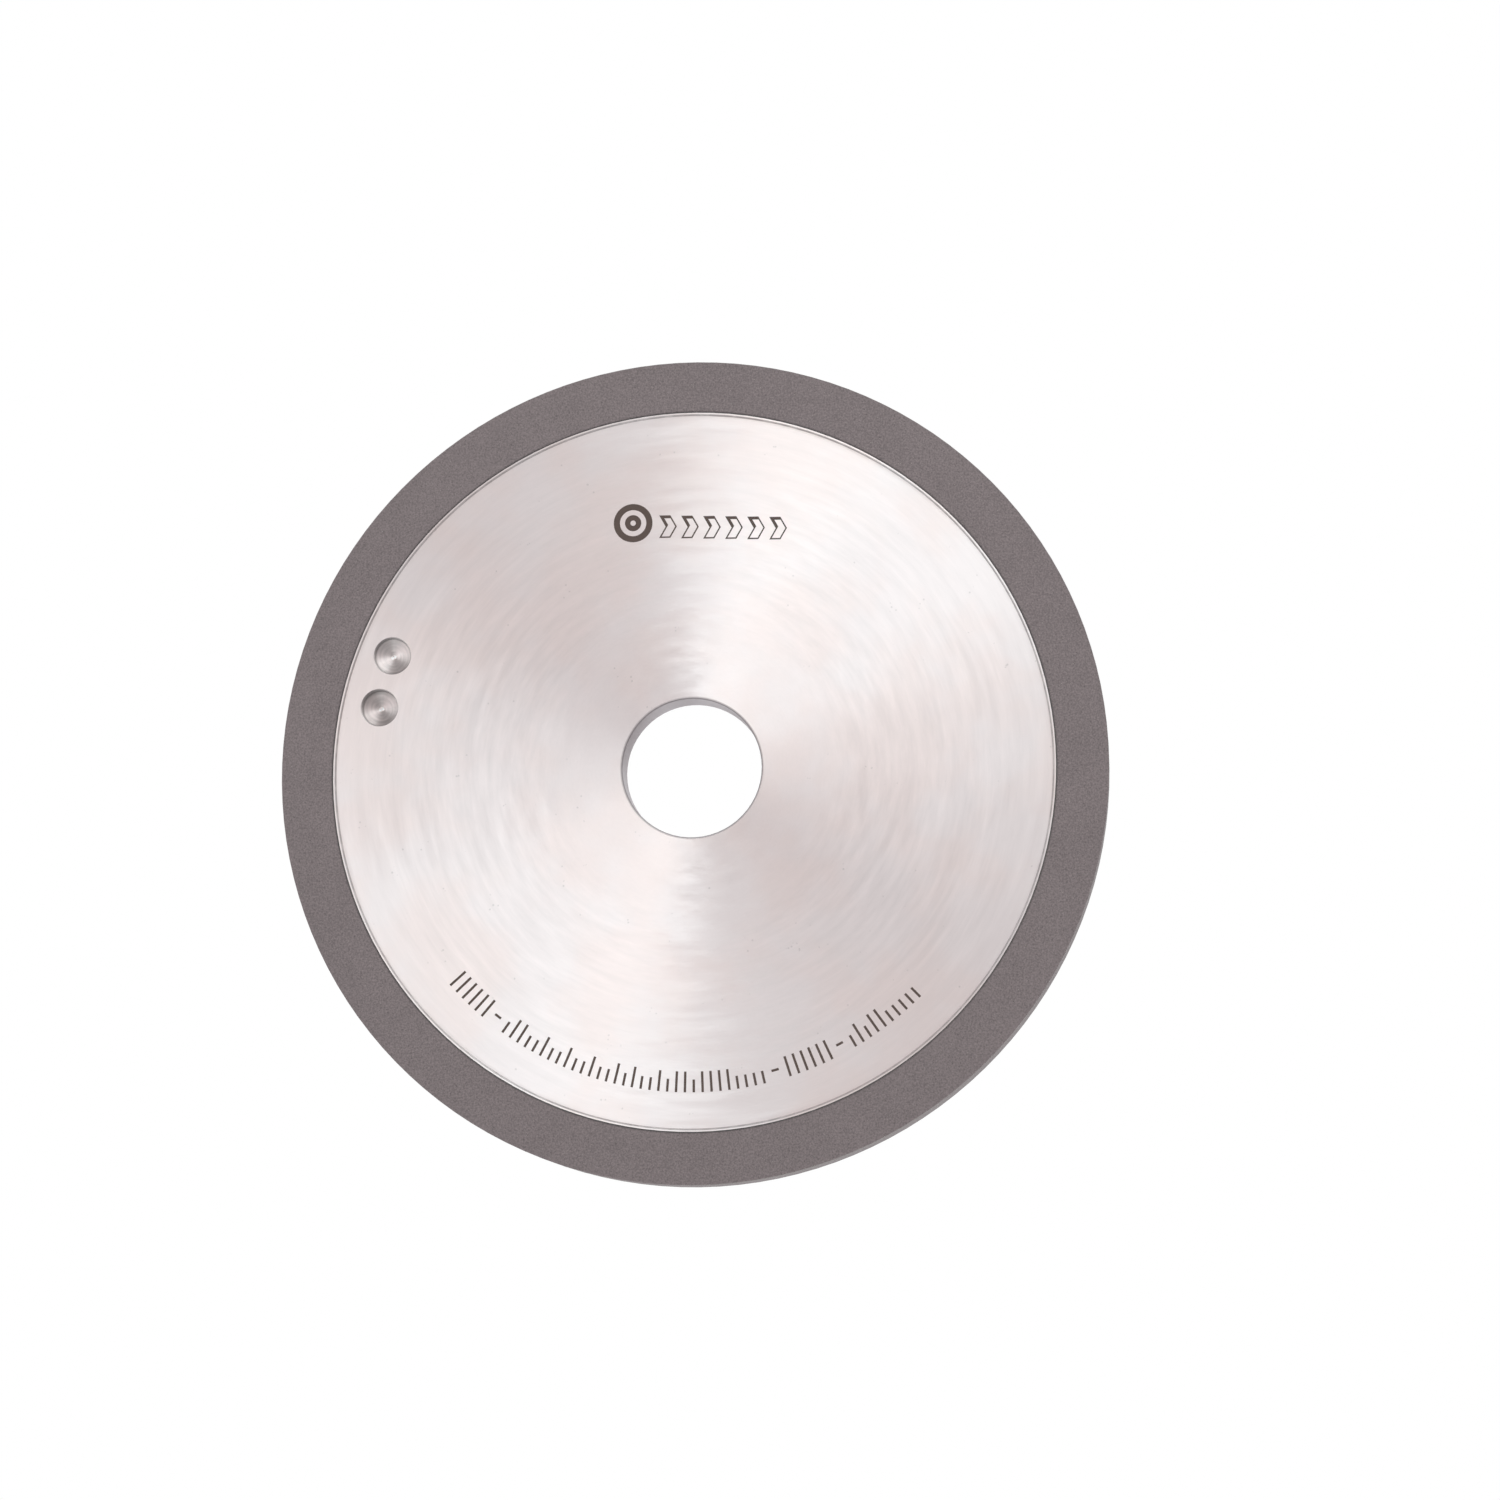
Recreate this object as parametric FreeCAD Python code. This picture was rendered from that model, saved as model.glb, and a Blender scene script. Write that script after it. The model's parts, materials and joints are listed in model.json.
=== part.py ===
import FreeCAD, Part
import math
import os

# A peripheral diamond grinding wheel: a flat steel body with a spindle bore, a bonded
# diamond rim around it, and the thin glue line that holds the two together.
# Millimetres. The spindle axis is Y and +Z is up. The marked side looks toward -Y, and
# the origin is the bore's centre at the middle of the wheel's width.

# Wheel
WHEEL_DIAMETER = 190.0
RIM_WIDTH = 10.22
RIM_DEPTH = 12.0  # from the steel body to the cutting face, glue line included
BORE_DIAMETER = 32.0

# Steel body
FACE_RELIEF = 0.25  # each clamping face lies this far below the rim's side
LIP_WIDTH = 0.4  # narrow land left standing around each face, level with the rim's side
LIP_BEVEL = 0.25  # radial width of the slope from the face up to the land
BORE_CHAMFER = 0.45

# Glue line and rim
GLUE_THICKNESS = 0.25
GLUE_RECESS = 0.12  # the glue ends this far below the rim's side
RIM_EDGE_BREAK = 0.08

# Blind holes drilled in the marked side to balance the wheel
HOLE_DIAMETER = 8.5
HOLE_POINT_ANGLE = 160.0
HOLE_MOUTH_BREAK = 0.15
SPUR_DIAMETER = 0.9  # mark of the drill's centre point
SPUR_ANGLE = 90.0
HOLE_WEB = 3.9  # steel left between the two holes
FIRST_HOLE_ANGLE = 168.3  # about the axis, from +X toward +Z
FIRST_HOLE_MARGIN = 4.75  # steel left between the hole and the body's outside
FIRST_HOLE_DEPTH = 2.1  # length of the hole's straight wall
SECOND_HOLE_MARGIN = 4.05
SECOND_HOLE_DEPTH = 1.4

# Worked out from the sizes above
WHEEL_RADIUS = WHEEL_DIAMETER / 2
BORE_RADIUS = BORE_DIAMETER / 2
HOLE_RADIUS = HOLE_DIAMETER / 2
SPUR_RADIUS = SPUR_DIAMETER / 2
BODY_RADIUS = WHEEL_RADIUS - RIM_DEPTH
RIM_SIDE = RIM_WIDTH / 2
FACE_SIDE = RIM_SIDE - FACE_RELIEF

ORIGIN = FreeCAD.Vector(0, 0, 0)
SPINDLE_AXIS = FreeCAD.Vector(0, 1, 0)
TOOL_OVERSHOOT = 1.0


def turned(profile):
    """Turn a closed outline of (radius, place along Y) points about the spindle axis."""
    points = [FreeCAD.Vector(radius, along, 0) for radius, along in profile]
    face = Part.Face(Part.makePolygon(points + points[:1]))
    return face.revolve(ORIGIN, SPINDLE_AXIS, 360)


def both_sides(half_profile):
    """Mirror the half of an outline at +Y across the middle of the wheel's width."""
    return half_profile + [(radius, -along) for radius, along in reversed(half_profile)]


def cone_height(width, angle):
    """Height that a cone of this point angle takes to widen by a radial width."""
    return width / math.tan(math.radians(angle / 2))


def drill(depth):
    """A drill standing in the marked side, on the spindle axis, with its mouth break."""
    mouth = -FACE_SIDE
    flare = HOLE_RADIUS + HOLE_MOUTH_BREAK
    spur = mouth + depth + cone_height(HOLE_RADIUS - SPUR_RADIUS, HOLE_POINT_ANGLE)
    return turned(
        [
            (0, mouth - TOOL_OVERSHOOT),
            (flare + TOOL_OVERSHOOT, mouth - TOOL_OVERSHOOT),
            (flare, mouth),
            (HOLE_RADIUS, mouth + HOLE_MOUTH_BREAK),
            (HOLE_RADIUS, mouth + depth),
            (SPUR_RADIUS, spur),
            (0, spur + cone_height(SPUR_RADIUS, SPUR_ANGLE)),
        ]
    )


def on_face(tool, radius, angle):
    """Move a tool from the spindle axis to a place on the face."""
    place = tool.copy()
    turn = math.radians(angle)
    place.translate(FreeCAD.Vector(radius * math.cos(turn), 0, radius * math.sin(turn)))
    return place


def balance_holes():
    """The two drills in their places, the second one web beyond the first."""
    first_radius = BODY_RADIUS - FIRST_HOLE_MARGIN - HOLE_RADIUS
    second_radius = BODY_RADIUS - SECOND_HOLE_MARGIN - HOLE_RADIUS
    pitch = HOLE_DIAMETER + HOLE_WEB
    cosine = (first_radius**2 + second_radius**2 - pitch**2) / (2 * first_radius * second_radius)
    second_angle = FIRST_HOLE_ANGLE - math.degrees(math.acos(cosine))
    return [
        on_face(drill(FIRST_HOLE_DEPTH), first_radius, FIRST_HOLE_ANGLE),
        on_face(drill(SECOND_HOLE_DEPTH), second_radius, second_angle),
    ]


def steel_body():
    """Disc with a chamfered bore, a relieved face and a narrow land on each side."""
    land_start = BODY_RADIUS - LIP_WIDTH
    blank = turned(
        both_sides(
            [
                (BORE_RADIUS, FACE_SIDE - BORE_CHAMFER),
                (BORE_RADIUS + BORE_CHAMFER, FACE_SIDE),
                (land_start - LIP_BEVEL, FACE_SIDE),
                (land_start, RIM_SIDE),
                (BODY_RADIUS, RIM_SIDE),
            ]
        )
    )
    return blank.cut(balance_holes()).Solids[0]


def glue_line():
    """Thin ring of adhesive that fills the gap between the body and the rim."""
    side = RIM_SIDE - GLUE_RECESS
    return turned(both_sides([(BODY_RADIUS, side), (BODY_RADIUS + GLUE_THICKNESS, side)]))


def diamond_rim():
    """Bonded abrasive ring with its sharp corners just broken."""
    return turned(
        both_sides(
            [
                (BODY_RADIUS + GLUE_THICKNESS, RIM_SIDE),
                (WHEEL_RADIUS - RIM_EDGE_BREAK, RIM_SIDE),
                (WHEEL_RADIUS, RIM_SIDE - RIM_EDGE_BREAK),
            ]
        )
    )


def main():
    os.makedirs("parts", exist_ok=True)
    pieces = {
        "steel_body": steel_body(),
        "glue_line": glue_line(),
        "diamond_rim": diamond_rim(),
    }
    for name, shape in pieces.items():
        shape.exportStep(f"parts/{name}.step")
        box = shape.BoundBox
        print(
            f"{name}: valid {shape.isValid()}, volume {shape.Volume:.0f} mm3,"
            f" size {box.XLength:.2f} x {box.YLength:.2f} x {box.ZLength:.2f} mm"
        )


main()
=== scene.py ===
"""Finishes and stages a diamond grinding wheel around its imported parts.

The steel body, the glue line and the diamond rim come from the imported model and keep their
shape. This script gives them their finishes, adds the etched marks and the exposed diamond
grains, and sets the floor, the lights and the camera.
"""

import json
import math

import bmesh
import bpy
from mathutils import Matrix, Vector


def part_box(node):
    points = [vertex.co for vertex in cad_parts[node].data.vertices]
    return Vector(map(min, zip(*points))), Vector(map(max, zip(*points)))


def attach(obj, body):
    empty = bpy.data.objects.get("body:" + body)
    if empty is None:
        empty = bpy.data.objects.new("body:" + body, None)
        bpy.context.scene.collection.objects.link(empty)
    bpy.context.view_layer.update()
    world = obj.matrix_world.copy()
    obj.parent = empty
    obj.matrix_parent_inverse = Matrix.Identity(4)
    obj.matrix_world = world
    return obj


bl_info = {
    "name": "Diamond Grinding Wheel",
    "version": (1, 0, 0),
    "blender": (4, 5, 0),
    "location": "3D View > Sidebar > Wheel",
    "description": "Finishes, marks and stages a diamond grinding wheel",
    "category": "Object",
}

MM = 0.001

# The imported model, and the places that the finishes and marks are worked out from.
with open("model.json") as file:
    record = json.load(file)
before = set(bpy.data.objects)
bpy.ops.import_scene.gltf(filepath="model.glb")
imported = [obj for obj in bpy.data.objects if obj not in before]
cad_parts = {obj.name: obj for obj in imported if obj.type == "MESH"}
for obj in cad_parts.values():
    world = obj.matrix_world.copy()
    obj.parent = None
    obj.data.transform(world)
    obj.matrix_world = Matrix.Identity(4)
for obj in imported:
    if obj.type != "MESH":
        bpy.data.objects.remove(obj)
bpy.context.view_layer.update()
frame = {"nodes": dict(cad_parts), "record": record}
MOUNTS = {mount["name"]: mount for mount in frame["record"]["mounts"]}
BODY = frame["nodes"]["steel_body"]
GLUE = frame["nodes"]["glue_line"]
RIM = frame["nodes"]["diamond_rim"]
BORE_RADIUS = MOUNTS["spindle_bore"]["dims"]["r_mm"] * MM
FACE = MOUNTS["front_clamp_face"]["pos_m"][1]
BODY_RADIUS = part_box("steel_body")[1][0]
SEAT_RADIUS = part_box("glue_line")[1][0]

# Details of the body: the bevel inside its lip, the bore's chamfer, and the blind holes with
# and without the break at their mouths.
BEVEL_RADIUS = BODY_RADIUS - 0.53 * MM
CHAMFER_RADIUS = BORE_RADIUS + 0.45 * MM
HOLE_RADIUS = 4.25 * MM
HOLE_MOUTH = 4.4 * MM
# Direction across the holes' floors of their two fans of painted highlight.
PAINTED_HIGHLIGHT_SECTORS = (0.9, 0, 0.44)

# Proportions of the marks.
EMBLEM_RING = (1.0, 0.68)
EMBLEM_INNER_RING = (0.42, 0.14)
CHEVRON_ARM = 2.6 * MM
CHEVRON_LEAD = 1.5 * MM
CHEVRON_THICK_LINE = 0.7 * MM
CHEVRON_THIN_LINE = 0.33 * MM
DASH_LENGTH = 1.7 * MM
TICK_GROUPS = (6, 32, 6, 10)

SOFTBOX_SIZE = 0.28
SOFTBOX_DISTANCE = 0.7
SOFTBOX_COLOUR = (0.85, 1.0, 1.0)
FLOOR_HALF_WIDTH = 8.0


def hole_axes():
    """Places on the face of the blind holes' axes, from the deepest points of the body's mesh."""
    floor = FACE + 1 * MM
    deep = [v.co for v in BODY.data.vertices if floor < v.co.y < 0 and v.co.xz.length > 2 * BORE_RADIUS]
    axes = []
    for point in sorted(deep, key=lambda co: -co.y):
        if all((point.xz - axis).length > 2 * HOLE_MOUTH for axis in axes):
            axes.append(point.xz.copy())
    return axes


HOLE_AXES = hole_axes()


# ---------------------------------------------------------------- settings


def tone(name, description, default):
    return bpy.props.FloatVectorProperty(
        name=name, description=description, subtype="COLOR", size=3, min=0, max=1, default=default
    )


def share(name, description, default):
    return bpy.props.FloatProperty(name=name, description=description, min=0, max=1, default=default)


def length(name, description, default):
    return bpy.props.FloatProperty(name=name, description=description, unit="LENGTH", default=default)


def turn(name, description, degrees):
    return bpy.props.FloatProperty(
        name=name, description=description, subtype="ANGLE", default=math.radians(degrees)
    )


class WheelSteelSettings(bpy.types.PropertyGroup):
    """Finish of the ground steel body."""

    colour: tone("Steel", "Reflection colour of the ground steel", (0.873, 0.796, 0.797))
    warm_tint: tone("Warm tint", "Multiplied in where the faces have discoloured", (1.0, 0.965, 0.95))
    inner_roughness: share("Inner roughness", "Roughness of the faces near the bore", 0.6)
    outer_roughness: share("Outer roughness", "Roughness of the faces near the rim", 0.56)
    anisotropy: share("Lay strength", "How strongly the grinding lay stretches reflections", 0.95)
    patch_contrast: share("Patch contrast", "Tone change of the long patches in the lay", 0.2)
    lay_stray: share("Lay stray", "How far the lay strays from true circles in the patches", 0.5)


class WheelRimSettings(bpy.types.PropertyGroup):
    """Finish of the diamond rim and its grains."""

    colour: tone("Bond", "Colour of the rim's bond", (0.1235, 0.0968, 0.0988))
    grain_contrast: share("Grain contrast", "Tone change of the fine grain", 1.3)
    cloud_contrast: share("Cloud contrast", "Tone change of the soft clouds", 0.22)
    roughness: share("Roughness", "Roughness of the dressed bond", 0.75)
    grain_colour: tone("Diamond", "Colour of the exposed grains", (0.22, 0.2, 0.165))
    grains_per_mm2: bpy.props.FloatProperty(
        name="Grains per mm2", description="Exposed grains on each square millimetre", min=0, default=0.6
    )
    smallest_grain: length("Smallest grain", "Radius of the smallest exposed grain", 0.035 * MM)
    largest_grain: length("Largest grain", "Radius of the largest exposed grain", 0.07 * MM)
    seed: bpy.props.IntProperty(name="Seed", description="Seed of the grains' places", default=7)


class WheelGlueSettings(bpy.types.PropertyGroup):
    """Finish of the glue line."""

    colour: tone("Resin", "Colour of the glue line's resin", (0.055, 0.047, 0.046))
    roughness: share("Roughness", "Roughness of the resin", 0.55)


class WheelMarkSettings(bpy.types.PropertyGroup):
    """Etched marks on the front face."""

    colour: tone("Etching", "Colour of the etched marks", (0.047, 0.0255, 0.0195))
    roughness: share("Roughness", "Roughness of the etching", 0.6)
    proud: length("Proud", "How far a mark stands off the face", 0.012 * MM)
    emblem_right: length("Emblem right", "Emblem's centre, right of the wheel's", -13.75 * MM)
    emblem_up: length("Emblem up", "Emblem's centre, above the wheel's", 57.25 * MM)
    emblem_radius: length("Emblem radius", "Outer radius of the emblem", 4.5 * MM)
    chevron_count: bpy.props.IntProperty(
        name="Chevrons", description="Outlined chevrons in the row", min=1, default=6
    )
    chevron_right: length("Chevrons right", "First chevron's centre, right of the wheel's", -6.2 * MM)
    chevron_up: length("Chevrons up", "First chevron's centre, above the wheel's", 56.3 * MM)
    chevron_pitch: length("Chevron pitch", "Step from one chevron to the next", 5.1 * MM)
    chevron_height: length("Chevron height", "Height of a chevron", 5.3 * MM)
    row_slope: turn("Slope", "Turn of the chevron row", -1.9)
    scale_foot: length("Scale foot", "Radius that the ticks stand on", 74.1 * MM)
    long_tick: length("Long tick", "Length of a long tick", 4.7 * MM)
    short_tick: length("Short tick", "Length of a short tick", 2.9 * MM)
    tick_width: length("Tick width", "Width of a tick", 0.56 * MM)
    tick_pitch: turn("Tick pitch", "Turn from one tick to the next", 1.57)
    scale_start: turn("Scale start", "First tick's place, clockwise from the lowest point", 48.2)
    short_share: share("Short share", "Share of the ticks that are short", 0.42)
    seed: bpy.props.IntProperty(name="Seed", description="Seed of the ticks' lengths", default=4)


class WheelStageSettings(bpy.types.PropertyGroup):
    """Camera and lights around the wheel."""

    azimuth: turn("Azimuth", "Camera's turn toward +X", 6.09)
    elevation: turn("Elevation", "Camera's rise over the wheel's centre", -8.43)
    distance: length("Distance", "Camera to the wheel's centre", 0.95)
    view_angle: turn("View angle", "Camera's field of view", 20.55)
    aim_right: length("Aim right", "Aim point right of the centre", 12.83 * MM)
    aim_up: length("Aim up", "Aim point above the centre", 4.8 * MM)
    room_light: bpy.props.FloatProperty(
        name="Room light", description="Strength of the even white room", min=0, default=1.0
    )
    key_power: bpy.props.FloatProperty(
        name="Key power", description="Watts of each strong softbox", min=0, default=1.1
    )
    fill_power: bpy.props.FloatProperty(
        name="Fill power", description="Watts of each weak softbox", min=0, default=0.6
    )
    floor_drop: length("Floor drop", "Floor below the wheel's centre", 0.62)


# ---------------------------------------------------------------- node building


class Tree:
    """Adds nodes to a tree and links their inputs as they are made."""

    def __init__(self, tree):
        self.tree = tree

    def add(self, kind, inputs=None, **settings):
        node = self.tree.nodes.new(kind)
        for name, value in settings.items():
            setattr(node, name, value)
        for name, value in (inputs or {}).items():
            self.give(node.inputs[name], value)
        return node

    def give(self, socket, value):
        if isinstance(value, bpy.types.NodeSocket):
            self.tree.links.new(value, socket)
        else:
            socket.default_value = value

    def math(self, operation, *values):
        node = self.add("ShaderNodeMath", operation=operation)
        for socket, value in zip(node.inputs, values):
            self.give(socket, value)
        return node.outputs[0]

    def vector(self, operation, *values):
        node = self.add("ShaderNodeVectorMath", operation=operation)
        for socket, value in zip(node.inputs, values):
            self.give(socket, value)
        scalar = operation in ("LENGTH", "DISTANCE", "DOT_PRODUCT")
        return node.outputs["Value" if scalar else "Vector"]

    def scale(self, vector, factor):
        node = self.add("ShaderNodeVectorMath", {"Vector": vector, "Scale": factor}, operation="SCALE")
        return node.outputs["Vector"]

    def combine(self, x=0.0, y=0.0, z=0.0):
        return self.add("ShaderNodeCombineXYZ", {"X": x, "Y": y, "Z": z}).outputs[0]

    def blend(self, factor, low, high):
        """Mix two colours."""
        node = self.add("ShaderNodeMix", data_type="RGBA")
        for index, value in ((0, factor), (6, low), (7, high)):
            self.give(node.inputs[index], value)
        return node.outputs[2]

    def turned(self, factor, first, second):
        """Swing from one direction to another."""
        node = self.add("ShaderNodeMix", data_type="VECTOR")
        for index, value in ((0, factor), (4, first), (5, second)):
            self.give(node.inputs[index], value)
        return node.outputs[1]

    def span(self, value, low, high, to_low=0.0, to_high=1.0):
        """Carry a value smoothly from one range to another."""
        node = self.add(
            "ShaderNodeMapRange",
            {"Value": value, "From Min": low, "From Max": high, "To Min": to_low, "To Max": to_high},
            interpolation_type="SMOOTHSTEP",
        )
        return node.outputs[0]

    def swing(self, value, amount, base=1.0):
        """Swing a base value up and down with a 0 to 1 pattern."""
        return self.math("MULTIPLY_ADD", self.math("SUBTRACT", value, 0.5), amount, base)

    def noise(self, vector, scale, detail=2.0, roughness=0.5):
        node = self.add(
            "ShaderNodeTexNoise",
            {"Vector": vector, "Scale": scale, "Detail": detail, "Roughness": roughness},
        )
        return node.outputs[0]

    def group(self, tree, **inputs):
        node = self.add("ShaderNodeGroup", node_tree=tree)
        for name, value in inputs.items():
            self.give(node.inputs[name.replace("_", " ").title()], value)
        return node.outputs

    def bump(self, height, strength, distance):
        inputs = {"Height": height, "Strength": strength, "Distance": distance}
        return self.add("ShaderNodeBump", inputs).outputs[0]


def colour(values):
    return (*values, 1.0)


def new_group(name, kind, inputs, outputs):
    """An empty node group with its sockets; returns its builder and its two end nodes."""
    tree = bpy.data.node_groups.new(name, kind)
    for socket, socket_type, default in inputs:
        made = tree.interface.new_socket(socket, in_out="INPUT", socket_type=socket_type)
        if default is not None:
            made.default_value = default
    for socket, socket_type in outputs:
        tree.interface.new_socket(socket, in_out="OUTPUT", socket_type=socket_type)
    return Tree(tree), tree.nodes.new("NodeGroupInput"), tree.nodes.new("NodeGroupOutput")


def shared(name, make):
    """A node group that several finishes use, made the first time it is asked for."""
    return bpy.data.node_groups.get(name) or make(name)


# ---------------------------------------------------------------- shared effects


def ring_lay(name):
    """Streaks that run in circles round the Y axis, as a ground or turned surface has."""
    b, start, end = new_group(
        name,
        "ShaderNodeTree",
        [
            ("Place", "NodeSocketVector", None),
            ("Ring Width", "NodeSocketFloat", 1.0),
            ("Arcs Round", "NodeSocketFloat", 8.0),
            ("Detail", "NodeSocketFloat", 2.0),
        ],
        [("Streaks", "NodeSocketFloat")],
    )
    place = start.outputs["Place"]
    flat = b.vector("MULTIPLY", place, (1, 0, 1))
    depth = b.vector("DOT_PRODUCT", place, (0, 1, 0))
    across = b.math("DIVIDE", b.math("ADD", b.vector("LENGTH", flat), depth), start.outputs["Ring Width"])
    around = b.scale(b.vector("NORMALIZE", flat), start.outputs["Arcs Round"])
    lay = b.vector("ADD", around, b.combine(y=across))
    b.give(end.inputs["Streaks"], b.noise(lay, 1.0, start.outputs["Detail"], 0.55))
    return b.tree


def ring_shade(name):
    """Painted shade in a narrow ring round the Y axis, thinned out in places."""
    b, start, end = new_group(
        name,
        "ShaderNodeTree",
        [
            ("Place", "NodeSocketVector", None),
            ("Radius", "NodeSocketFloat", 10.0),
            ("Half Width", "NodeSocketFloat", 0.2),
            ("Breakup", "NodeSocketFloat", 0.3),
        ],
        [("Mask", "NodeSocketFloat")],
    )
    place = start.outputs["Place"]
    flat = b.vector("MULTIPLY", place, (1, 0, 1))
    half = start.outputs["Half Width"]
    off = b.math("ABSOLUTE", b.math("SUBTRACT", b.vector("LENGTH", flat), start.outputs["Radius"]))
    band = b.span(off, b.math("MULTIPLY", half, 0.4), half, 1.0, 0.0)
    thin = b.math("MULTIPLY", b.span(b.noise(place, 0.35, 3.0, 0.6), 0.4, 0.65), start.outputs["Breakup"])
    b.give(end.inputs["Mask"], b.math("MULTIPLY", band, b.math("SUBTRACT", 1.0, thin)))
    return b.tree


def grain_speckle(name):
    """Fine grains, soft clouds and scattered pits, as a bonded or etched surface has."""
    b, start, end = new_group(
        name,
        "ShaderNodeTree",
        [
            ("Place", "NodeSocketVector", None),
            ("Grain Size", "NodeSocketFloat", 0.3),
            ("Cloud Size", "NodeSocketFloat", 8.0),
        ],
        [("Grains", "NodeSocketFloat"), ("Clouds", "NodeSocketFloat"), ("Pits", "NodeSocketFloat")],
    )
    place = start.outputs["Place"]
    fine = b.math("DIVIDE", 1.0, start.outputs["Grain Size"])
    wide = b.math("DIVIDE", 1.0, start.outputs["Cloud Size"])
    b.give(end.inputs["Grains"], b.noise(place, fine, 2.0, 0.6))
    b.give(end.inputs["Clouds"], b.noise(place, wide, 3.0, 0.6))
    cells = b.add("ShaderNodeTexVoronoi", {"Vector": place, "Scale": b.math("MULTIPLY", fine, 0.5)})
    b.give(end.inputs["Pits"], b.span(cells.outputs["Distance"], 0.1, 0.28, 1.0, 0.0))
    return b.tree


# ---------------------------------------------------------------- finishes


def new_material(name):
    material = bpy.data.materials.new(name)
    material.use_nodes = True
    material.node_tree.nodes.clear()
    b = Tree(material.node_tree)
    shader = b.add("ShaderNodeBsdfPrincipled")
    b.add("ShaderNodeOutputMaterial", {"Surface": shader.outputs[0]})
    return material, b, shader


def millimetres(b):
    return b.scale(b.add("ShaderNodeTexCoord").outputs["Object"], 1 / MM)


def hole_places(b, place):
    """Mask of the blind holes, and the place measured from the nearest hole's or wheel's axis."""
    flat = b.vector("MULTIPLY", place, (1, 0, 1))
    front = b.math("LESS_THAN", b.vector("DOT_PRODUCT", place, (0, 1, 0)), 0.0)
    inside = 0.0
    centre = (0.0, 0.0, 0.0)
    for axis in HOLE_AXES:
        spot = (axis.x / MM, 0, axis.y / MM)
        near = b.math("LESS_THAN", b.vector("DISTANCE", flat, spot), HOLE_MOUTH / MM)
        near = b.math("MULTIPLY", near, front)
        inside = b.math("ADD", inside, near)
        centre = b.vector("ADD", centre, b.scale(spot, near))
    return inside, b.vector("SUBTRACT", place, centre)


def ground_steel(settings):
    """Ground faces with a circular lay and drilled holes, with painted shade in the bore, the turned corners
    and the holes, and a painted highlight at the drill points.
    """
    material, b, shader = new_material("ground_steel_finish")
    lay = shared("Ring Lay", ring_lay)
    shade_ring = shared("Ring Shade", ring_shade)
    speckle = shared("Grain Speckle", grain_speckle)
    place = millimetres(b)
    in_hole, local = hole_places(b, place)
    radius = b.vector("LENGTH", b.vector("MULTIPLY", place, (1, 0, 1)))
    hole_radius = b.vector("LENGTH", b.vector("MULTIPLY", local, (1, 0, 1)))
    depth = b.math("SUBTRACT", b.vector("DOT_PRODUCT", place, (0, 1, 0)), FACE / MM)

    # Circular lay at four scales. The drilled holes have their own centres.
    fine = b.group(lay, place=local, ring_width=0.5, arcs_round=22.0, detail=3.0)[0]
    patches = b.group(lay, place=local, ring_width=1.8, arcs_round=4.5, detail=2.5)[0]
    drill_marks = b.group(lay, place=local, ring_width=0.42, arcs_round=0.7, detail=1.0)[0]
    broad = b.group(lay, place=local, ring_width=7.0, arcs_round=3.5, detail=2.0)[0]

    # Tone of the faces: a slight painted fall of light outwards, the lay, and long patches in a middle belt.
    belt = b.math("MULTIPLY", b.span(radius, 24.0, 42.0), b.span(radius, 66.0, 82.0, 1.0, 0.45))
    patch_tone = b.math("MULTIPLY", belt, settings.patch_contrast)
    light = b.math("ADD", b.span(radius, 18.0, 80.0, 0.03, -0.03), b.swing(fine, 0.05))
    light = b.math("ADD", light, b.math("MULTIPLY", b.math("SUBTRACT", patches, 0.5), patch_tone))
    light = b.math("ADD", light, b.swing(broad, 0.05, 0.0))

    # The floors of the holes have drill marks and two fans of painted highlight, where the drilled cone's
    # lay would catch the lights.
    out = b.vector("NORMALIZE", b.vector("MULTIPLY", local, (1, 0, 1)))
    highlight_sectors = b.math("ABSOLUTE", b.vector("DOT_PRODUCT", out, PAINTED_HIGHLIGHT_SECTORS))
    highlight_sectors = b.math("POWER", highlight_sectors, 2.5)
    drill_marks_and_highlight = b.math("ADD", b.swing(drill_marks, 0.5, 0.0), b.swing(highlight_sectors, 0.5, 0.0))
    light = b.math("ADD", light, b.math("MULTIPLY", drill_marks_and_highlight, in_hole))

    # A few tiny specks.
    specks = b.group(speckle, place=place, grain_size=0.6, cloud_size=30.0)
    rare = b.span(b.noise(place, 0.3, 1.0), 0.68, 0.72)
    light = b.math("SUBTRACT", light, b.math("MULTIPLY", b.math("MULTIPLY", specks["Pits"], rare), 0.16))

    # Masks of the turned and drilled details, and how much painted shade each lays on the steel: in the
    # bore, its chamfer, the bevel inside the lip, the holes, their walls and their mouths. The negative
    # amount at the centre of each hole's floor is a painted highlight at the drill point.
    bore = b.span(radius, BORE_RADIUS / MM + 0.05, CHAMFER_RADIUS / MM, 1.0, 0.0)
    chamfer = b.group(shade_ring, place=place, radius=BORE_RADIUS / MM + 0.28, half_width=0.3, breakup=0.1)[0]
    bevel = b.group(shade_ring, place=place, radius=BEVEL_RADIUS / MM, half_width=0.26, breakup=0.25)[0]
    below = b.span(depth, 0.05, 0.3)
    wall = b.math("MULTIPLY", b.span(hole_radius, HOLE_RADIUS / MM - 0.45, HOLE_RADIUS / MM - 0.05), below)
    wall = b.math("MULTIPLY", wall, in_hole)
    mouth = b.math("MULTIPLY", b.span(hole_radius, HOLE_RADIUS / MM - 0.1, HOLE_RADIUS / MM), in_hole)
    drill_point_highlight = b.math("MULTIPLY", b.span(hole_radius, 0.4, 0.65, 1.0, 0.0), in_hole)
    painted_shading = (
        (bore, 0.61),
        (chamfer, 0.3),
        (bevel, 0.5),
        (in_hole, 0.17),
        (wall, 0.4),
        (mouth, 0.3),
        (drill_point_highlight, -0.8),
    )
    for mask, amount in painted_shading:
        light = b.math("MULTIPLY", light, b.math("SUBTRACT", 1.0, b.math("MULTIPLY", mask, amount)))

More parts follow.
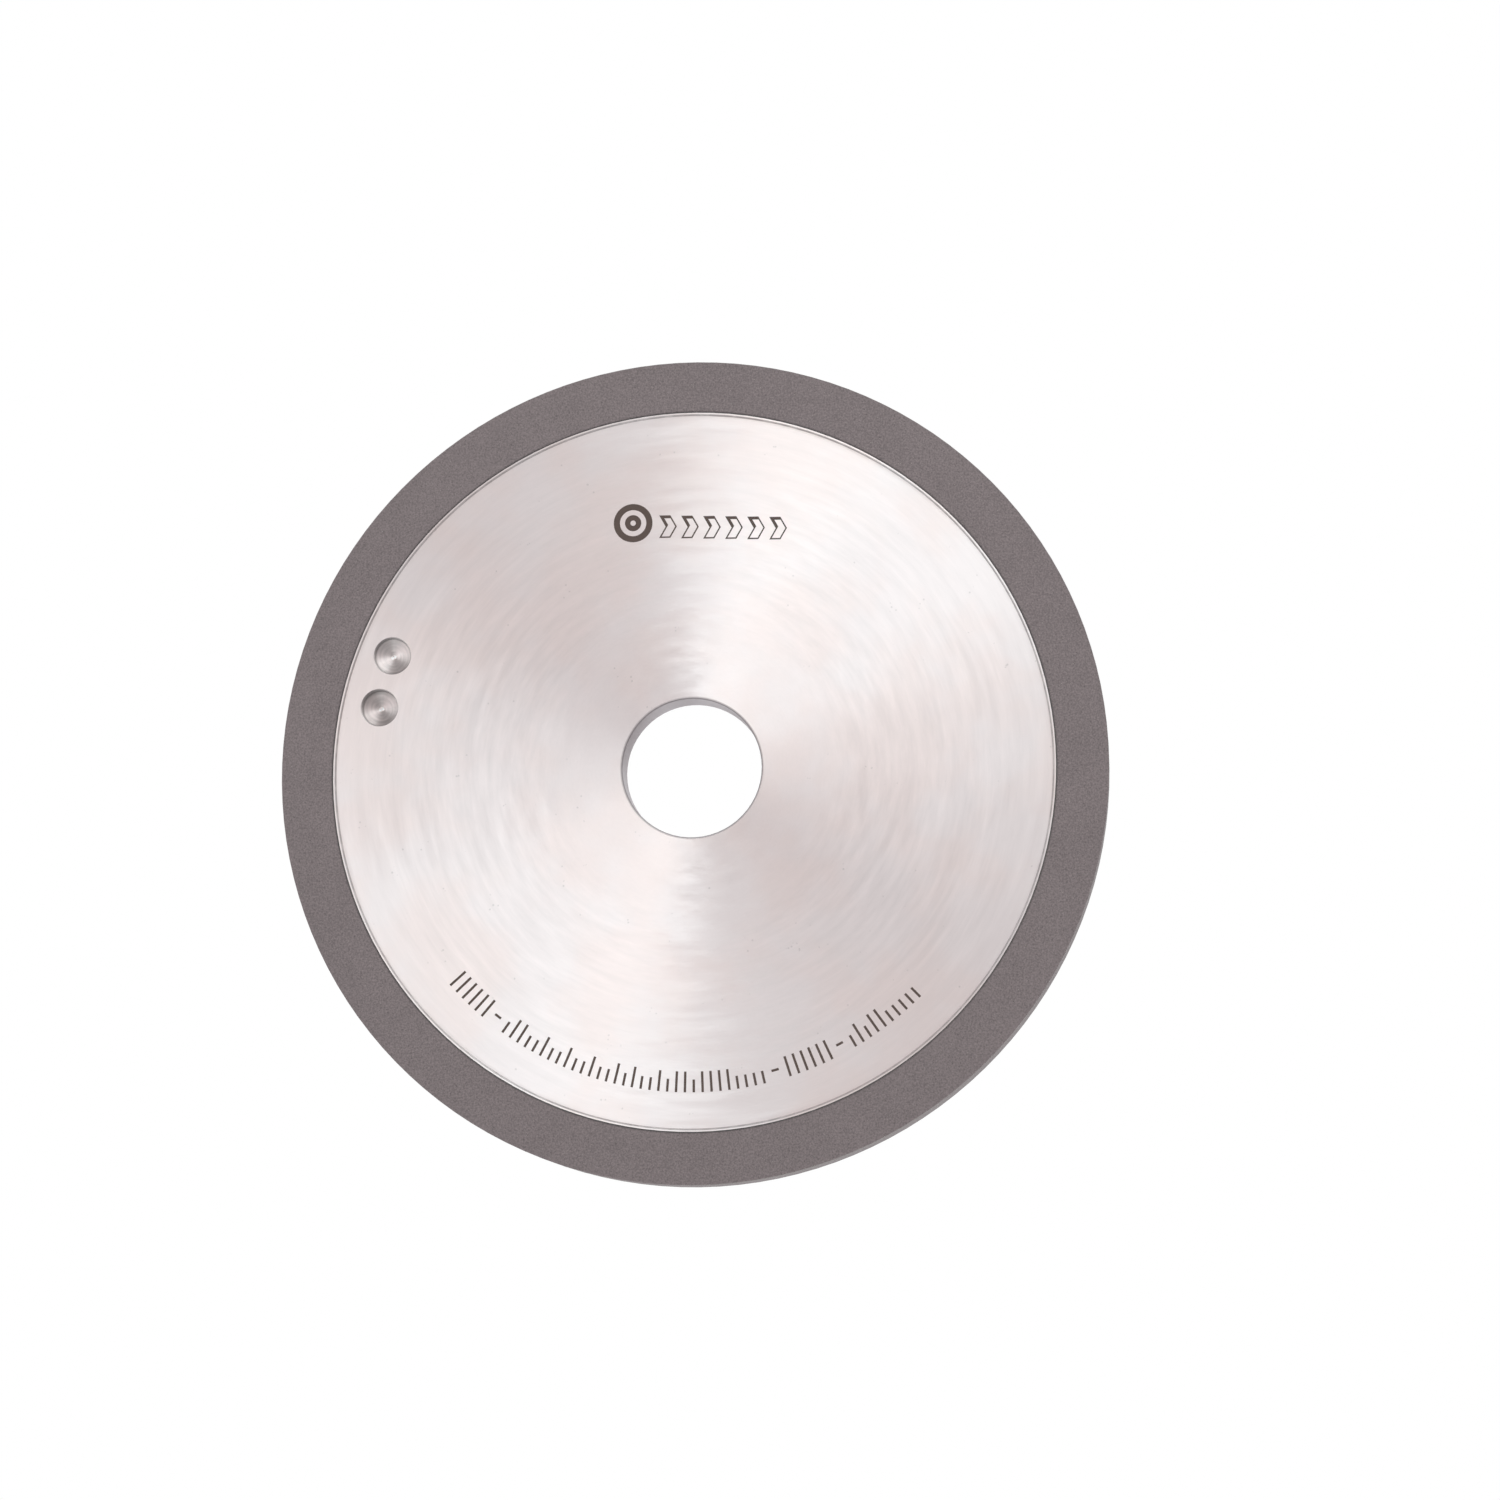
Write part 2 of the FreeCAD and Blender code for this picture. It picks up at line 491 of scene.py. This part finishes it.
    tint = b.blend(b.span(specks["Clouds"], 0.38, 0.62), (1, 1, 1, 1), colour(settings.warm_tint))
    tint = b.blend(bore, tint, (1.0, 0.97, 1.0, 1))
    base = b.vector("MULTIPLY", tint, tuple(settings.colour))
    b.give(shader.inputs["Base Color"], b.scale(base, light))
    shader.inputs["Metallic"].default_value = 1.0

    rough = b.span(radius, 20.0, 75.0, settings.inner_roughness, settings.outer_roughness)
    rough = b.math("ADD", rough, b.swing(patches, 0.05, 0.0))
    dull = b.math("MAXIMUM", b.math("MAXIMUM", chamfer, bevel), mouth)
    b.give(shader.inputs["Roughness"], b.math("ADD", rough, b.math("MULTIPLY", dull, 0.3)))
    shader.inputs["Anisotropic"].default_value = settings.anisotropy

    # Reflections stretch across the lay; on the walls of the bore and holes, along the axis.
    across = b.vector("CROSS_PRODUCT", out, (0, 1, 0))
    stray = b.swing(patches, settings.lay_stray, 0.0)
    strayed = b.vector("ADD", out, b.scale(across, stray))
    upright = b.math("MAXIMUM", bore, wall)
    b.give(shader.inputs["Tangent"], b.vector("NORMALIZE", b.turned(upright, strayed, (0.0, 1.0, 0.0))))
    b.give(shader.inputs["Normal"], b.bump(fine, 0.35, 0.012 * MM))
    return material


def dressed_bond(settings):
    """Porous bond of the rim: fine grain, soft clouds and open pits."""
    material, b, shader = new_material("diamond_bond_finish")
    place = millimetres(b)
    speckle = b.group(shared("Grain Speckle", grain_speckle), place=place, grain_size=0.42, cloud_size=9.0)
    dressing = b.group(shared("Ring Lay", ring_lay), place=place, ring_width=1.2, arcs_round=14.0)[0]
    seat_shade = b.group(shared("Ring Shade", ring_shade), place=place, radius=SEAT_RADIUS / MM, half_width=0.3)[0]
    light = b.swing(speckle["Grains"], settings.grain_contrast)
    light = b.math("ADD", light, b.swing(speckle["Clouds"], settings.cloud_contrast, 0.0))
    light = b.math("ADD", light, b.swing(dressing, 0.05, 0.0))
    light = b.math("MULTIPLY", light, b.math("SUBTRACT", 1.0, b.math("MULTIPLY", speckle["Pits"], 0.22)))
    # Painted shade along the rim's inner edge, beside the glue line.
    light = b.math("MULTIPLY", light, b.math("SUBTRACT", 1.0, b.math("MULTIPLY", seat_shade, 0.3)))
    b.give(shader.inputs["Base Color"], b.scale(tuple(settings.colour), light))
    b.give(shader.inputs["Roughness"], b.swing(speckle["Grains"], 0.2, settings.roughness))
    shader.inputs["Specular IOR Level"].default_value = 0.3
    height = b.math("SUBTRACT", speckle["Grains"], speckle["Pits"])
    b.give(shader.inputs["Normal"], b.bump(height, 0.5, 0.03 * MM))
    return material


def diamond(settings):
    """Pale, slightly uneven crystals."""
    material, b, shader = new_material("diamond_grain_finish")
    place = millimetres(b)
    light = b.swing(b.noise(place, 1.7, 2.0), 1.4)
    b.give(shader.inputs["Base Color"], b.scale(tuple(settings.grain_colour), light))
    b.give(shader.inputs["Roughness"], b.swing(b.noise(place, 6.0), 0.3, 0.3))
    shader.inputs["IOR"].default_value = 1.8
    b.give(shader.inputs["Normal"], b.bump(b.noise(place, 25.0), 0.3, 0.01 * MM))
    return material


def resin(settings):
    """Dark resin with a soft, uneven surface."""
    material, b, shader = new_material("glue_finish")
    place = millimetres(b)
    speckle = b.group(shared("Grain Speckle", grain_speckle), place=place, grain_size=0.5, cloud_size=5.0)
    light = b.swing(speckle["Clouds"], 0.9)
    b.give(shader.inputs["Base Color"], b.scale(tuple(settings.colour), light))
    b.give(shader.inputs["Roughness"], b.swing(speckle["Grains"], 0.25, settings.roughness))
    b.give(shader.inputs["Normal"], b.bump(speckle["Grains"], 0.4, 0.03 * MM))
    return material


def etching(settings):
    """Dark oxide left by the etching, with the lay of the steel showing through."""
    material, b, shader = new_material("etching_finish")
    place = millimetres(b)
    lay = b.group(shared("Ring Lay", ring_lay), place=place, ring_width=0.5, arcs_round=22.0)[0]
    speckle = b.group(shared("Grain Speckle", grain_speckle), place=place, grain_size=0.22, cloud_size=3.0)
    light = b.math("ADD", b.swing(lay, 0.25), b.swing(speckle["Grains"], 0.35, 0.0))
    b.give(shader.inputs["Base Color"], b.scale(tuple(settings.colour), light))
    b.give(shader.inputs["Roughness"], b.swing(speckle["Grains"], 0.2, settings.roughness))
    b.give(shader.inputs["Normal"], b.bump(speckle["Grains"], 0.3, 0.01 * MM))
    return material


def dress(node, material):
    for slot in node.material_slots:
        slot.material = material


# ---------------------------------------------------------------- marks and grains


def place_piece(piece):
    """Settle a finished piece on the wheel."""
    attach(piece, "root")


def new_piece(name, bm, material):
    bmesh.ops.recalc_face_normals(bm, faces=bm.faces)
    mesh = bpy.data.meshes.new(name)
    bm.to_mesh(mesh)
    bm.free()
    mesh.materials.append(material)
    piece = bpy.data.objects.new(name, mesh)
    bpy.context.scene.collection.objects.link(piece)
    return piece


def grow(name, tree, values):
    """Run a geometry node tree once and keep what it makes as a plain mesh."""
    piece = bpy.data.objects.new(name, bpy.data.meshes.new(name))
    bpy.context.scene.collection.objects.link(piece)
    growth = piece.modifiers.new("growth", "NODES")
    growth.node_group = tree
    sockets = {item.name: item.identifier for item in tree.interface.items_tree if item.in_out == "INPUT"}
    for title, value in values.items():
        growth[sockets[title]] = value
    evaluated = piece.evaluated_get(bpy.context.evaluated_depsgraph_get())
    mesh = bpy.data.meshes.new_from_object(evaluated)
    piece.modifiers.remove(growth)
    piece.data = mesh
    if not mesh.polygons:
        raise RuntimeError(name + " came out empty")
    return piece


def inset(outline, widths):
    """Move each edge of a closed outline inwards by its own width."""
    count = len(outline)
    lines = []
    for index, width in enumerate(widths):
        start = Vector(outline[index])
        along = (Vector(outline[(index + 1) % count]) - start).normalized()
        lines.append((start + Vector((along.y, -along.x)) * width, along))
    corners = []
    for index in range(count):
        point, along = lines[index]
        before, back = lines[index - 1]
        gap = point - before
        step = (gap.x * along.y - gap.y * along.x) / (back.x * along.y - back.y * along.x)
        corners.append(before + back * step)
    return corners


def plate(bm, outline, opening=None):
    """A thin plate that stands off the front face, with the opening left out of its outline."""
    proud = bpy.context.scene.wheel_marks.proud
    layers = []
    for y in (FACE - proud, FACE + 2.5 * proud):
        rings = [[bm.verts.new((x, y, z)) for x, z in ring] for ring in (outline, opening or [])]
        layers.append(rings)
    count = len(outline)
    for index in range(count):
        after = (index + 1) % count
        for ring in range(2 if opening else 1):
            front, back = layers[0][ring], layers[1][ring]
            bm.faces.new((front[index], front[after], back[after], back[index]))
        if opening:
            for outer, inner in layers:
                bm.faces.new((outer[index], outer[after], inner[after], inner[index]))
    if not opening:
        for rings in layers:
            bm.faces.new(rings[0])


def circle(right, up, radius, corners=96):
    angles = [math.tau * index / corners for index in range(corners)]
    return [(right + radius * math.cos(a), up + radius * math.sin(a)) for a in angles]


def mark_row_tree():
    """A row of marks along a line or round the wheel, some swapped for a second kind."""
    b, start, end = new_group(
        "Mark Row",
        "GeometryNodeTree",
        [
            ("Mark", "NodeSocketObject", None),
            ("Other Mark", "NodeSocketObject", None),
            ("Other Share", "NodeSocketFloat", 0.0),
            ("Count", "NodeSocketInt", 1),
            ("Step", "NodeSocketVector", None),
            ("First Turn", "NodeSocketFloat", 0.0),
            ("Turn", "NodeSocketFloat", 0.0),
            ("Seed", "NodeSocketInt", 0),
            ("Finish", "NodeSocketMaterial", None),
        ],
        [("Geometry", "NodeSocketGeometry")],
    )
    given = start.outputs
    points = b.add("GeometryNodeMeshLine", {"Count": given["Count"], "Offset": given["Step"]})
    both = b.add("GeometryNodeJoinGeometry")
    for kind in ("Other Mark", "Mark"):
        mark = b.add("GeometryNodeObjectInfo", {"Object": given[kind], "As Instance": True})
        b.give(both.inputs[0], mark.outputs["Geometry"])
    swap = b.add(
        "FunctionNodeRandomValue",
        {"Probability": given["Other Share"], "Seed": given["Seed"]},
        data_type="BOOLEAN",
    )
    index = b.add("GeometryNodeInputIndex").outputs[0]
    angle = b.math("MULTIPLY_ADD", index, given["Turn"], given["First Turn"])
    row = b.add(
        "GeometryNodeInstanceOnPoints",
        {
            "Points": points.outputs[0],
            "Instance": both.outputs[0],
            "Pick Instance": True,
            "Instance Index": swap.outputs[3],
            "Rotation": b.combine(y=angle),
        },
    )
    real = b.add("GeometryNodeRealizeInstances", {"Geometry": row.outputs[0]})
    done = b.add("GeometryNodeSetMaterial", {"Geometry": real.outputs[0], "Material": given["Finish"]})
    b.give(end.inputs[0], done.outputs[0])
    return b.tree


def exposed_grains_tree():
    """Small crystals scattered over the rim's outer faces."""
    b, start, end = new_group(
        "Exposed Grains",
        "GeometryNodeTree",
        [
            ("Rim", "NodeSocketObject", None),
            ("Inner Radius", "NodeSocketFloat", 0.0),
            ("Density", "NodeSocketFloat", 1.0),
            ("Smallest", "NodeSocketFloat", 0.0),
            ("Largest", "NodeSocketFloat", 0.0),
            ("Seed", "NodeSocketInt", 0),
            ("Finish", "NodeSocketMaterial", None),
        ],
        [("Geometry", "NodeSocketGeometry")],
    )
    given = start.outputs
    rim = b.add("GeometryNodeObjectInfo", {"Object": given["Rim"]})
    place = b.add("GeometryNodeInputPosition").outputs[0]
    radius = b.vector("LENGTH", b.vector("MULTIPLY", place, (1, 0, 1)))
    outer = b.math("GREATER_THAN", radius, given["Inner Radius"])
    points = b.add(
        "GeometryNodeDistributePointsOnFaces",
        {
            "Mesh": rim.outputs["Geometry"],
            "Selection": outer,
            "Density": given["Density"],
            "Seed": given["Seed"],
        },
    )
    crystal = b.add("GeometryNodeMeshUVSphere", {"Segments": 4, "Rings": 2, "Radius": 1.0})
    size = b.add("FunctionNodeRandomValue", {"Seed": given["Seed"]}, data_type="FLOAT")
    b.give(size.inputs[2], given["Smallest"])
    b.give(size.inputs[3], given["Largest"])
    way = b.add("FunctionNodeRandomValue", {"Seed": given["Seed"]}, data_type="FLOAT_VECTOR")
    b.give(way.inputs[1], (math.tau, math.tau, math.tau))
    scattered = b.add(
        "GeometryNodeInstanceOnPoints",
        {
            "Points": points.outputs[0],
            "Instance": crystal.outputs[0],
            "Rotation": way.outputs[0],
            "Scale": size.outputs[1],
        },
    )
    real = b.add("GeometryNodeRealizeInstances", {"Geometry": scattered.outputs[0]})
    done = b.add("GeometryNodeSetMaterial", {"Geometry": real.outputs[0], "Material": given["Finish"]})
    b.give(end.inputs[0], done.outputs[0])
    return b.tree


def mark_pattern(name, outline, opening, material):
    bm = bmesh.new()
    plate(bm, outline, opening)
    return new_piece(name, bm, material)


def bar(width, foot, tip):
    """Outline of an upright bar below the wheel's centre, given by the radii of its ends."""
    half = width / 2
    return [(-half, -foot), (-half, -tip), (half, -tip), (half, -foot)]


def join(name, parts, material):
    """Put several plain meshes into one piece."""
    bm = bmesh.new()
    for part in parts:
        bm.from_mesh(part.data)
        remove(part)
    return new_piece(name, bm, material)


def remove(piece):
    mesh = piece.data
    bpy.data.objects.remove(piece)
    bpy.data.meshes.remove(mesh)


def etched_finish():
    return bpy.data.materials.get("etching_finish") or etching(bpy.context.scene.wheel_marks)


def row_tree():
    return bpy.data.node_groups.get("Mark Row") or mark_row_tree()


# ---------------------------------------------------------------- operators


class WHEEL_OT_steel_body(bpy.types.Operator):
    """Give the body its ground steel finish"""

    bl_idname = "wheel.steel_body"
    bl_label = "Steel Body"

    def execute(self, context):
        dress(BODY, ground_steel(context.scene.wheel_steel))
        return {"FINISHED"}


class WHEEL_OT_glue_line(bpy.types.Operator):
    """Give the glue line its resin finish"""

    bl_idname = "wheel.glue_line"
    bl_label = "Glue Line"

    def execute(self, context):
        dress(GLUE, resin(context.scene.wheel_glue))
        return {"FINISHED"}


class WHEEL_OT_diamond_rim(bpy.types.Operator):
    """Give the rim its bond finish and scatter the exposed grains over it"""

    bl_idname = "wheel.diamond_rim"
    bl_label = "Diamond Rim"

    def execute(self, context):
        settings = context.scene.wheel_rim
        dress(RIM, dressed_bond(settings))
        grains = grow(
            "diamond_grains",
            exposed_grains_tree(),
            {
                "Rim": RIM,
                "Inner Radius": SEAT_RADIUS + 0.3 * MM,
                "Density": settings.grains_per_mm2 / MM**2,
                "Smallest": settings.smallest_grain,
                "Largest": settings.largest_grain,
                "Seed": settings.seed,
                "Finish": diamond(settings),
            },
        )
        place_piece(grains)
        return {"FINISHED"}


class WHEEL_OT_emblem(bpy.types.Operator):
    """Etch a plain ring around a smaller ring"""

    bl_idname = "wheel.emblem"
    bl_label = "Emblem"

    def execute(self, context):
        marks = context.scene.wheel_marks
        right, up, radius = marks.emblem_right, marks.emblem_up, marks.emblem_radius
        bm = bmesh.new()
        for outer, inner in (EMBLEM_RING, EMBLEM_INNER_RING):
            plate(bm, circle(right, up, radius * outer), circle(right, up, radius * inner))
        place_piece(new_piece("etched_emblem", bm, etched_finish()))
        return {"FINISHED"}


class WHEEL_OT_chevrons(bpy.types.Operator):
    """Etch the row of outlined chevrons"""

    bl_idname = "wheel.chevrons"
    bl_label = "Chevrons"

    def execute(self, context):
        marks = context.scene.wheel_marks
        high = marks.chevron_height / 2
        arm, lead = CHEVRON_ARM, CHEVRON_LEAD
        right, up = marks.chevron_right, marks.chevron_up
        outline = [
            (-lead, high),
            (arm - lead, high),
            (arm, 0),
            (arm - lead, -high),
            (-lead, -high),
            (0, 0),
        ]
        outline = [(x + right, z + up) for x, z in outline]
        thick, thin = CHEVRON_THICK_LINE, CHEVRON_THIN_LINE
        opening = inset(outline, (thick, thin, thin, thin, thin, thick))
        pattern = mark_pattern("chevron_pattern", outline, opening, etched_finish())
        slope, pitch = marks.row_slope, marks.chevron_pitch
        row = grow(
            "etched_chevrons",
            row_tree(),
            {
                "Mark": pattern,
                "Other Mark": pattern,
                "Count": marks.chevron_count,
                "Step": (pitch * math.cos(slope), 0.0, pitch * math.sin(slope)),
                "Finish": etched_finish(),
            },
        )
        remove(pattern)
        place_piece(row)
        return {"FINISHED"}


class WHEEL_OT_tick_scale(bpy.types.Operator):
    """Etch the grouped ticks and dashes along the foot of the face"""

    bl_idname = "wheel.tick_scale"
    bl_label = "Tick Scale"

    def execute(self, context):
        marks = context.scene.wheel_marks
        foot, width, pitch = marks.scale_foot, marks.tick_width, marks.tick_pitch
        finish = etched_finish()
        long_tick = mark_pattern("long_tick", bar(width, foot, foot - marks.long_tick), None, finish)
        short_tick = mark_pattern("short_tick", bar(width, foot, foot - marks.short_tick), None, finish)
        middle = foot - marks.long_tick / 2
        outline = bar(DASH_LENGTH, middle + width / 2, middle - width / 2)
        dash = mark_pattern("dash", outline, None, finish)

        def row(first, count, mark, other):
            values = {
                "Mark": mark,
                "Other Mark": other,
                "Other Share": marks.short_share,
                "Count": count,
                "First Turn": marks.scale_start - first * pitch,
                "Turn": -pitch,
                "Seed": marks.seed + len(rows),
                "Finish": finish,
            }
            return grow("tick_row", row_tree(), values)

        rows = []
        first = 0
        for count in TICK_GROUPS:
            if first:
                rows.append(row(first - 1.5, 1, dash, dash))
            rows.append(row(first, count, long_tick, short_tick))
            first += count + 2
        for pattern in (long_tick, short_tick, dash):
            remove(pattern)
        place_piece(join("etched_scale", rows, finish))
        return {"FINISHED"}


def direction(azimuth, elevation):
    """From the wheel's centre; azimuth 0 is the marked side and turns toward +X."""
    return Vector(
        (
            math.cos(elevation) * math.sin(azimuth),
            -math.cos(elevation) * math.cos(azimuth),
            math.sin(elevation),
        )
    )


# Azimuth and elevation, in degrees, of the softboxes in front of the wheel. The strong ones
# stand at the upper right, the weak ones at the lower left and far right.
KEY_BANK = ((45, 35), (50, 60), (15, 65))
FILL_BANK = ((-75, -55), (-75, -35), (-75, -10), (-55, 15), (-25, -50), (75, 15))


def softbox(name, azimuth, elevation, power):
    """An area light that faces the wheel's centre and that the camera doesn't see."""
    light = bpy.data.lights.new(name, "AREA")
    light.shape = "SQUARE"
    light.size = SOFTBOX_SIZE
    light.energy = power
    light.color = SOFTBOX_COLOUR
    lamp = bpy.data.objects.new(name, light)
    bpy.context.scene.collection.objects.link(lamp)
    away = direction(math.radians(azimuth), math.radians(elevation))
    lamp.location = away * SOFTBOX_DISTANCE
    lamp.rotation_mode = "QUATERNION"
    lamp.rotation_quaternion = away.to_track_quat("Z", "Y")
    lamp.visible_camera = False


class WHEEL_OT_stage(bpy.types.Operator):
    """Set the floor, the lights and the camera"""

    bl_idname = "wheel.stage"
    bl_label = "Stage"

    def execute(self, context):
        scene = context.scene
        settings = scene.wheel_stage
        scene.view_settings.view_transform = "Standard"
        world = bpy.data.worlds.new("studio")
        world.use_nodes = True
        background = world.node_tree.nodes["Background"]
        background.inputs["Color"].default_value = (1, 1, 1, 1)
        background.inputs["Strength"].default_value = settings.room_light
        scene.world = world

        bm = bmesh.new()
        bmesh.ops.create_grid(bm, size=FLOOR_HALF_WIDTH)
        for vertex in bm.verts:
            vertex.co.z = -settings.floor_drop
        material, b, shader = new_material("floor_finish")
        shader.inputs["Base Color"].default_value = (0.97, 0.97, 0.97, 1)
        shader.inputs["Roughness"].default_value = 0.9
        new_piece("floor", bm, material)

        banks = (("key", KEY_BANK, settings.key_power), ("fill", FILL_BANK, settings.fill_power))
        for name, places, power in banks:
            for azimuth, elevation in places:
                softbox(name + "_front", azimuth, elevation, power)
                softbox(name + "_back", azimuth + 180, elevation, power)

        away = direction(settings.azimuth, settings.elevation)
        right = (-away).cross(Vector((0, 0, 1))).normalized()
        up = right.cross(-away)
        aim = right * settings.aim_right + up * settings.aim_up
        lens = bpy.data.cameras.new("camera")
        lens.angle = settings.view_angle
        camera = bpy.data.objects.new("camera", lens)
        scene.collection.objects.link(camera)
        camera.location = away * settings.distance
        camera.rotation_mode = "QUATERNION"
        camera.rotation_quaternion = (aim - camera.location).to_track_quat("-Z", "Y")
        scene.camera = camera
        return {"FINISHED"}


class WHEEL_PT_wheel(bpy.types.Panel):
    """Build steps and settings of the wheel"""

    bl_idname = "WHEEL_PT_wheel"
    bl_label = "Diamond Grinding Wheel"
    bl_space_type = "VIEW_3D"
    bl_region_type = "UI"
    bl_category = "Wheel"

    def draw(self, context):
        scene = context.scene
        sections = (
            (scene.wheel_steel, (WHEEL_OT_steel_body,)),
            (scene.wheel_glue, (WHEEL_OT_glue_line,)),
            (scene.wheel_rim, (WHEEL_OT_diamond_rim,)),
            (scene.wheel_marks, (WHEEL_OT_emblem, WHEEL_OT_chevrons, WHEEL_OT_tick_scale)),
            (scene.wheel_stage, (WHEEL_OT_stage,)),
        )
        for settings, operators in sections:
            box = self.layout.box()
            for operator in operators:
                box.operator(operator.bl_idname)
            for name in settings.__annotations__:
                box.prop(settings, name)


SETTINGS = {
    "wheel_steel": WheelSteelSettings,
    "wheel_glue": WheelGlueSettings,
    "wheel_rim": WheelRimSettings,
    "wheel_marks": WheelMarkSettings,
    "wheel_stage": WheelStageSettings,
}
OPERATORS = (
    WHEEL_OT_steel_body,
    WHEEL_OT_glue_line,
    WHEEL_OT_diamond_rim,
    WHEEL_OT_emblem,
    WHEEL_OT_chevrons,
    WHEEL_OT_tick_scale,
    WHEEL_OT_stage,
)


def register():
    for name, settings in SETTINGS.items():
        bpy.utils.register_class(settings)
        setattr(bpy.types.Scene, name, bpy.props.PointerProperty(type=settings))
    for cls in (*OPERATORS, WHEEL_PT_wheel):
        bpy.utils.register_class(cls)


def unregister():
    for cls in (WHEEL_PT_wheel, *reversed(OPERATORS)):
        bpy.utils.unregister_class(cls)
    for name, settings in SETTINGS.items():
        delattr(bpy.types.Scene, name)
        bpy.utils.unregister_class(settings)


def main():
    register()
    bpy.ops.wheel.steel_body()
    bpy.ops.wheel.glue_line()
    bpy.ops.wheel.diamond_rim()
    bpy.ops.wheel.emblem()
    bpy.ops.wheel.chevrons()
    bpy.ops.wheel.tick_scale()
    bpy.ops.wheel.stage()


if __name__ == "__main__":
    main()
